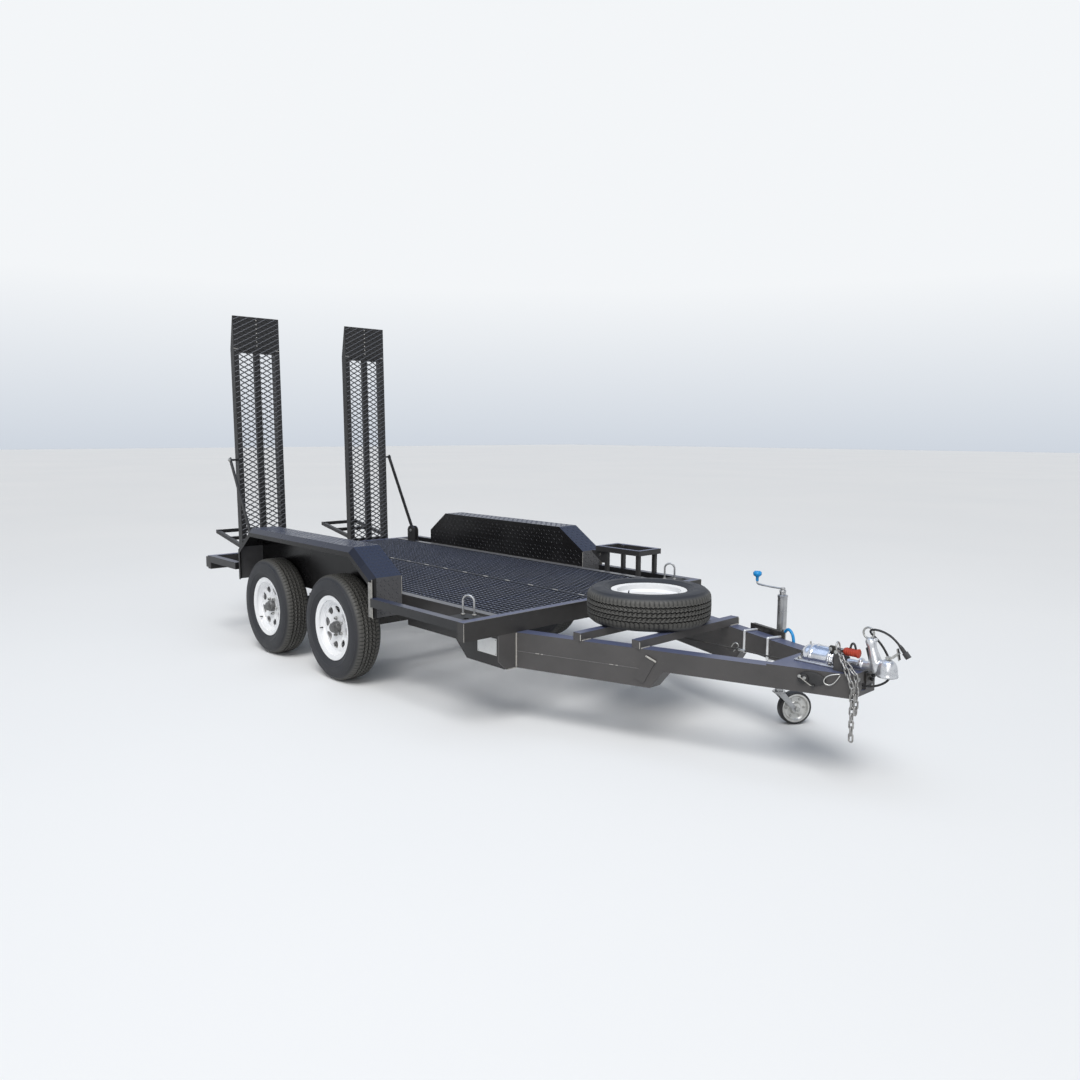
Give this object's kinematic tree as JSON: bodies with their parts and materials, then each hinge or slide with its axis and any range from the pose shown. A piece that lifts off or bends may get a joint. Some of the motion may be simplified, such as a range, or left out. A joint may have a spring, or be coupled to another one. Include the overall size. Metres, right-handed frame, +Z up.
{
  "type": "plant trailer",
  "caption": "Tandem-axle plant trailer with open mesh deck, upright fold-down loading ramps, checker-plate mudguards, flat-lying spare wheel, swing-up jockey wheel and override ball coupling.",
  "frame": {"origin": "on the ground under the middle of the trailer's bounding box", "axes": "+X forwards to the coupling, +Y to the trailer's left, +Z up"},
  "size_m": [5.587, 1.953, 2.4366],
  "materials": {
    "blue_lever": "gloss",
    "cable_black": "matte",
    "checker_plate": "satin",
    "frame_paint": "satin",
    "handbrake_zinc": "satin",
    "lamp_red": "gloss",
    "plate_white": "satin",
    "tyre_rubber": "matte",
    "wheel_paint": "gloss",
    "wheel_rubber": "matte",
    "zinc": "satin"
  },
  "bodies": {
    "chassis": {"axles": "frame_paint", "bare_plate": "plate_white", "brake_cable": "cable_black", "bucket_rest": "frame_paint", "chassis_rails": "frame_paint", "corner_plates": "frame_paint", "coupling_housing": "zinc", "deck_cross_members": "frame_paint", "deck_sheet_far": "frame_paint", "deck_sheet_near": "frame_paint", "deck_side_rails": "frame_paint", "drawbar_end_plates": "frame_paint", "drawbar_lower_rails": "frame_paint", "drawbar_rails": "frame_paint", "equalisers": "frame_paint", "front_beam": "frame_paint", "jockey_bracket": "zinc", "leaf_springs": "frame_paint", "mudguard_far": "checker_plate", "mudguard_near": "checker_plate", "nose_plates": "frame_paint", "rail_straps": "frame_paint", "ramp_hinges": "frame_paint", "rear_beam": "frame_paint", "rear_lamps": "lamp_red", "rope_rails": "frame_paint", "safety_chains": "zinc", "spare_carrier": "frame_paint", "spare_rim": "wheel_paint", "spare_tyre": "tyre_rubber", "spring_hangers": "frame_paint", "stay_brackets": "frame_paint", "tie_hoops": "frame_paint"},
    "wheel_front_near": {"rim_front_near": "wheel_paint", "tyre_front_near": "tyre_rubber"},
    "wheel_front_far": {"rim_front_far": "wheel_paint", "tyre_front_far": "tyre_rubber"},
    "wheel_rear_near": {"rim_rear_near": "wheel_paint", "tyre_rear_near": "tyre_rubber"},
    "wheel_rear_far": {"rim_rear_far": "wheel_paint", "tyre_rear_far": "tyre_rubber"},
    "ramp_near": {"ramp_frame_near": "frame_paint", "ramp_mesh_near": "frame_paint"},
    "stay_near": {"ramp_stay_near": "frame_paint"},
    "ramp_far": {"ramp_frame_far": "frame_paint", "ramp_mesh_far": "frame_paint"},
    "stay_far": {"ramp_stay_far": "frame_paint"},
    "jockey_stand": {"jockey_tube": "zinc"},
    "jockey_handle": {"jockey_crank": "zinc"},
    "jockey_inner": {"jockey_leg": "zinc"},
    "jockey_swivel_fork": {"jockey_fork": "zinc"},
    "jockey_roller": {"jockey_wheel": "wheel_rubber"},
    "jockey_lever": {"swing_lever": "blue_lever"},
    "head": {"coupling_head": "zinc", "plug_lead": "cable_black", "trailer_plug": "cable_black"},
    "trigger": {"release_trigger": "zinc"},
    "handbrake": {"handbrake_lever": "handbrake_zinc"}
  },
  "joints": [
    {"name": "wheel_spin_front_near", "type": "hinge", "parent": "chassis", "child": "wheel_front_near", "pos_m": [-0.384, -0.862, 0.333], "axis": [0, 1, 0], "continuous": true},
    {"name": "wheel_spin_front_far", "type": "hinge", "parent": "chassis", "child": "wheel_front_far", "pos_m": [-0.384, 0.862, 0.333], "axis": [0, 1, 0], "continuous": true},
    {"name": "wheel_spin_rear_near", "type": "hinge", "parent": "chassis", "child": "wheel_rear_near", "pos_m": [-1.284, -0.862, 0.333], "axis": [0, 1, 0], "continuous": true},
    {"name": "wheel_spin_rear_far", "type": "hinge", "parent": "chassis", "child": "wheel_rear_far", "pos_m": [-1.284, 0.862, 0.333], "axis": [0, 1, 0], "continuous": true},
    {"name": "ramp_fold_near", "type": "hinge", "parent": "chassis", "child": "ramp_near", "pos_m": [-2.219, -0.489, 0.575], "axis": [0, -1, 0], "range_deg": [0, 106]},
    {"name": "stay_turn_near", "type": "hinge", "parent": "ramp_near", "child": "stay_near", "pos_m": [-2.2779, -0.731, 1.32435], "axis": [0, 1, 0], "range_deg": [0, 28.9]},
    {"name": "ramp_fold_far", "type": "hinge", "parent": "chassis", "child": "ramp_far", "pos_m": [-2.219, 0.489, 0.575], "axis": [0, -1, 0], "range_deg": [0, 106]},
    {"name": "stay_turn_far", "type": "hinge", "parent": "ramp_far", "child": "stay_far", "pos_m": [-2.2779, 0.731, 1.32435], "axis": [0, 1, 0], "range_deg": [0, 28.9]},
    {"name": "stand_swing", "type": "hinge", "parent": "chassis", "child": "jockey_stand", "pos_m": [1.92495, 0.32558, 0.47], "axis": [-0.3117, -0.9502, 0], "range_deg": [-90, 0]},
    {"name": "crank_turn", "type": "hinge", "parent": "jockey_stand", "child": "jockey_handle", "pos_m": [1.951, 0.405, 0.728], "axis": [0, 0, -1], "continuous": true},
    {"name": "jockey_screw", "type": "slide", "parent": "jockey_stand", "child": "jockey_inner", "axis": [0, 0, 1], "range_m": [0, 0.14]},
    {"name": "jockey_swivel", "type": "hinge", "parent": "jockey_inner", "child": "jockey_swivel_fork", "pos_m": [1.951, 0.405, 0.185], "axis": [0, 0, 1], "continuous": true},
    {"name": "jockey_wheel_spin", "type": "hinge", "parent": "jockey_swivel_fork", "child": "jockey_roller", "pos_m": [2.00002, 0.48048, 0.09], "axis": [-0.8387, 0.5446, 0], "continuous": true},
    {"name": "swing_lever_turn", "type": "hinge", "parent": "chassis", "child": "jockey_lever", "pos_m": [1.97554, 0.32582, 0.5], "axis": [-0.3117, -0.9502, 0], "range_deg": [0, 25]},
    {"name": "coupling_slide", "type": "slide", "parent": "chassis", "child": "head", "axis": [1, 0, 0], "range_m": [-0.05, 0]},
    {"name": "trigger_press", "type": "hinge", "parent": "head", "child": "trigger", "pos_m": [2.718, 0, 0.586], "axis": [0, -1, 0], "range_deg": [0, 25], "stiffness_Nm_per_rad": 2},
    {"name": "handbrake_pull", "type": "hinge", "parent": "chassis", "child": "handbrake", "pos_m": [2.48, -0.046, 0.592], "axis": [0, -1, 0], "range_deg": [0, 70]}
  ],
  "couplings": [
    {"joint": "stay_turn_near", "follows": "ramp_fold_near", "ratio": 0.2724},
    {"joint": "stay_turn_far", "follows": "ramp_fold_far", "ratio": 0.2724}
  ]
}
